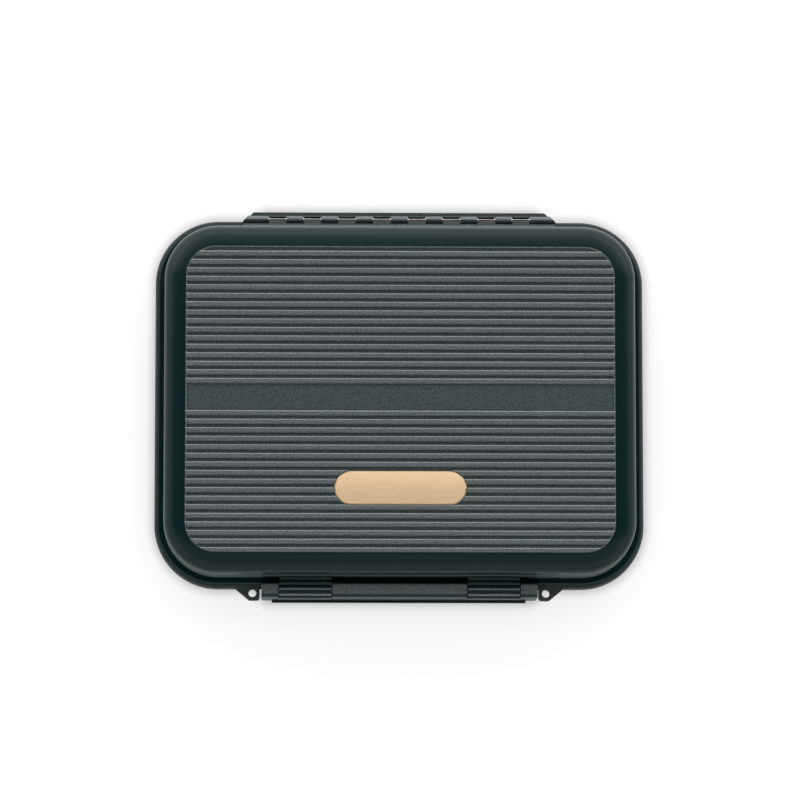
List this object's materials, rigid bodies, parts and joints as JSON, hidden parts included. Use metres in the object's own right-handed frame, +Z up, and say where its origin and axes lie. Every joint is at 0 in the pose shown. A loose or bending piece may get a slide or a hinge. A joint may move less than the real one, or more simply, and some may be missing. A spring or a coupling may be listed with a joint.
{
  "type": "fly box",
  "caption": "Waterproof fly box: two rounded plastic shells on a rod hinge, a wide lever latch, a ribbed lid with a bare gold badge, and slit-foam rows inside.",
  "frame": {"origin": "under the middle of the closed and latched box, on the surface it stands on", "axes": "+Z up, +X to the right, -Y to the front where the latch is, +Y to the rear where the hinge is"},
  "size_m": [0.13, 0.1046, 0.036],
  "materials": {
    "shell_plastic": "satin",
    "badge_metal": "brushed",
    "steel": "satin",
    "seal_rubber": "matt",
    "tray_plastic": "satin",
    "foam": "matt foam"
  },
  "bodies": {
    "base": {"base_shell": "shell_plastic", "hinge_rod": "steel", "seal_ring": "seal_rubber", "base_insert_tray": "tray_plastic", "base_foam_strip_1": "foam", "base_foam_strip_2": "foam", "base_foam_strip_3": "foam", "base_foam_strip_4": "foam", "base_foam_strip_5": "foam", "base_foam_strip_6": "foam"},
    "lid": {"lid_shell": "shell_plastic", "badge_plate": "badge_metal", "lid_insert_tray": "tray_plastic", "lid_foam_strip_1": "foam", "lid_foam_strip_2": "foam", "lid_foam_strip_3": "foam", "lid_foam_strip_4": "foam", "lid_foam_strip_5": "foam", "lid_foam_strip_6": "foam"},
    "latch": {"latch_lever": "shell_plastic", "latch_pin": "steel"}
  },
  "joints": [
    {"name": "lid_hinge", "type": "hinge", "parent": "base", "child": "lid", "pos_m": [0, 0.0498, 0.0191], "axis": [-1, 0, 0], "range_deg": [0, 180]},
    {"name": "latch_pivot", "type": "hinge", "parent": "lid", "child": "latch", "pos_m": [0, -0.0497, 0.023], "axis": [-1, 0, 0], "range_deg": [0, 100]}
  ]
}
